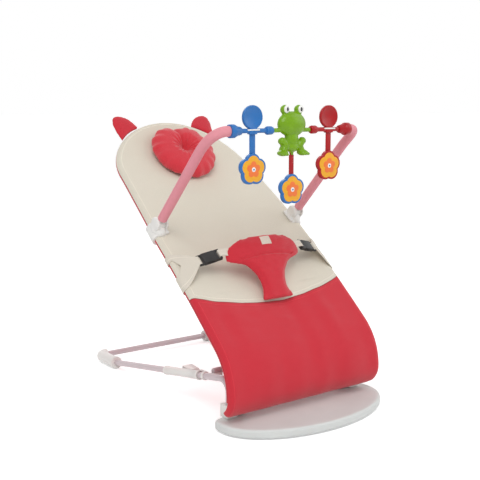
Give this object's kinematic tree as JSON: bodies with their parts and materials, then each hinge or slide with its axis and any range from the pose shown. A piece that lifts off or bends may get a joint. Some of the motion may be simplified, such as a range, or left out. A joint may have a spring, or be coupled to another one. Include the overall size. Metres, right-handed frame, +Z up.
{
  "type": "baby bouncer",
  "caption": "Baby bouncer with a half-moon foot plate, springy tube base, reclining cloth seat, buckled waist pad and a swinging toy arch.",
  "frame": {"origin": "bottom centre of the bounding box, on the floor", "axes": "+Z up, +Y from the foot plate towards the head, +X towards the red end of the toy bar"},
  "size_m": [0.408, 0.719, 0.6403],
  "materials": {
    "white_plastic": "satin off-white moulding",
    "pad_rubber": "matt grey rubber",
    "pin_steel": "bright steel",
    "tube_paint": "pale warm paint on steel tube",
    "cream_cloth": "matt woven cotton",
    "red_cloth": "matt woven cotton",
    "label_cloth": "plain woven tape",
    "cream_webbing": "woven webbing",
    "black_plastic": "moulded",
    "pink_foam": "soft closed-cell foam",
    "blue_plastic": "moulded",
    "red_plastic": "moulded",
    "blue_strap": "woven tape",
    "red_strap": "woven tape",
    "petal_cloth": "plush",
    "green_plastic": "moulded"
  },
  "bodies": {
    "base": {"foot_plate_top": "white_plastic", "foot_plate_pan": "white_plastic", "floor_pad_left": "pad_rubber", "floor_pad_right": "pad_rubber", "front_socket_left": "white_plastic", "front_socket_right": "white_plastic", "hinge_pin_left": "pin_steel", "hinge_pin_right": "pin_steel", "front_tube_left": "tube_paint", "front_tube_right": "tube_paint", "collar_left": "white_plastic", "collar_right": "white_plastic", "adapter_left": "white_plastic", "adapter_right": "white_plastic", "side_tube_left": "tube_paint", "side_tube_right": "tube_paint", "rear_elbow_left": "white_plastic", "rear_elbow_right": "white_plastic", "rear_crossbar": "tube_paint"},
    "seat": {"seat_frame_lower": "tube_paint", "seat_frame_upper": "tube_paint", "seat_cover_upper": "cream_cloth", "seat_cover_lower": "red_cloth", "seat_cover_back": "red_cloth", "ear_left": "red_cloth", "ear_right": "red_cloth", "head_pillow": "red_cloth", "waist_pad": "red_cloth", "pad_label": "label_cloth", "strap_left": "cream_webbing", "strap_right": "cream_webbing", "buckle_socket_left": "black_plastic", "buckle_socket_right": "black_plastic", "buckle_tongue_left": "black_plastic", "buckle_tongue_right": "black_plastic", "arch_clamp_left": "white_plastic", "arch_clamp_right": "white_plastic"},
    "prop": {"prop_frame": "tube_paint", "prop_sleeve_left": "white_plastic", "prop_sleeve_right": "white_plastic"},
    "toy_arch": {"arch_tube_left": "tube_paint", "arch_tube_right": "tube_paint", "arm_foam_left": "pink_foam", "arm_foam_right": "pink_foam", "end_cup_blue": "blue_plastic", "end_cup_red": "red_plastic", "toy_bar_blue": "blue_plastic", "toy_bar_red": "red_plastic"},
    "frog": {"frog": "green_plastic"},
    "frog_tag": {"frog_tag_strap": "red_strap", "frog_tag_flower": "petal_cloth"},
    "pendant_blue": {"pendant_strap_blue": "blue_strap", "flower_blue": "petal_cloth"},
    "pendant_red": {"pendant_strap_red": "red_strap", "flower_red": "petal_cloth"},
    "prong_upper_left": {"prong_upper_left": "black_plastic"},
    "prong_lower_left": {"prong_lower_left": "black_plastic"},
    "prong_upper_right": {"prong_upper_right": "black_plastic"},
    "prong_lower_right": {"prong_lower_right": "black_plastic"}
  },
  "joints": [
    {"name": "seat_recline", "type": "hinge", "parent": "base", "child": "seat", "pos_m": [0, -0.2125, 0.036], "axis": [1, 0, 0], "range_deg": [-30, 0]},
    {"name": "prop_swing", "type": "hinge", "parent": "seat", "child": "prop", "pos_m": [0, -0.12548, 0.20567], "axis": [1, 0, 0], "range_deg": [0, 120]},
    {"name": "arch_swing", "type": "hinge", "parent": "seat", "child": "toy_arch", "pos_m": [0, 0.00552, 0.38977], "axis": [1, 0, 0], "range_deg": [-60, 35]},
    {"name": "frog_spin", "type": "hinge", "parent": "toy_arch", "child": "frog", "pos_m": [0, -0.20448, 0.58977], "axis": [1, 0, 0], "continuous": true},
    {"name": "pendant_blue_swing", "type": "hinge", "parent": "toy_arch", "child": "pendant_blue", "pos_m": [-0.1, -0.20448, 0.58477], "axis": [1, 0, 0], "range_deg": [-35, 35]},
    {"name": "pendant_red_swing", "type": "hinge", "parent": "toy_arch", "child": "pendant_red", "pos_m": [0.1, -0.20448, 0.58477], "axis": [1, 0, 0], "range_deg": [-35, 35]},
    {"name": "frog_tag_swing", "type": "hinge", "parent": "frog", "child": "frog_tag", "pos_m": [0, -0.20448, 0.54277], "axis": [0, 1, 0], "range_deg": [-30, 30]},
    {"name": "prong_upper_left_press", "type": "slide", "parent": "seat", "child": "prong_upper_left", "axis": [0, -0.7802, -0.6255], "range_m": [0, 0.002], "stiffness_N_per_m": 1500},
    {"name": "prong_lower_left_press", "type": "slide", "parent": "seat", "child": "prong_lower_left", "axis": [0, 0.7802, 0.6255], "range_m": [0, 0.002], "stiffness_N_per_m": 1500},
    {"name": "prong_upper_right_press", "type": "slide", "parent": "seat", "child": "prong_upper_right", "axis": [0, -0.7802, -0.6255], "range_m": [0, 0.002], "stiffness_N_per_m": 1500},
    {"name": "prong_lower_right_press", "type": "slide", "parent": "seat", "child": "prong_lower_right", "axis": [0, 0.7802, 0.6255], "range_m": [0, 0.002], "stiffness_N_per_m": 1500}
  ],
  "couplings": [
    {"joint": "prop_swing", "follows": "seat_recline", "ratio": -4},
    {"joint": "prong_lower_left_press", "follows": "prong_upper_left_press", "ratio": 1},
    {"joint": "prong_lower_right_press", "follows": "prong_upper_right_press", "ratio": 1}
  ]
}
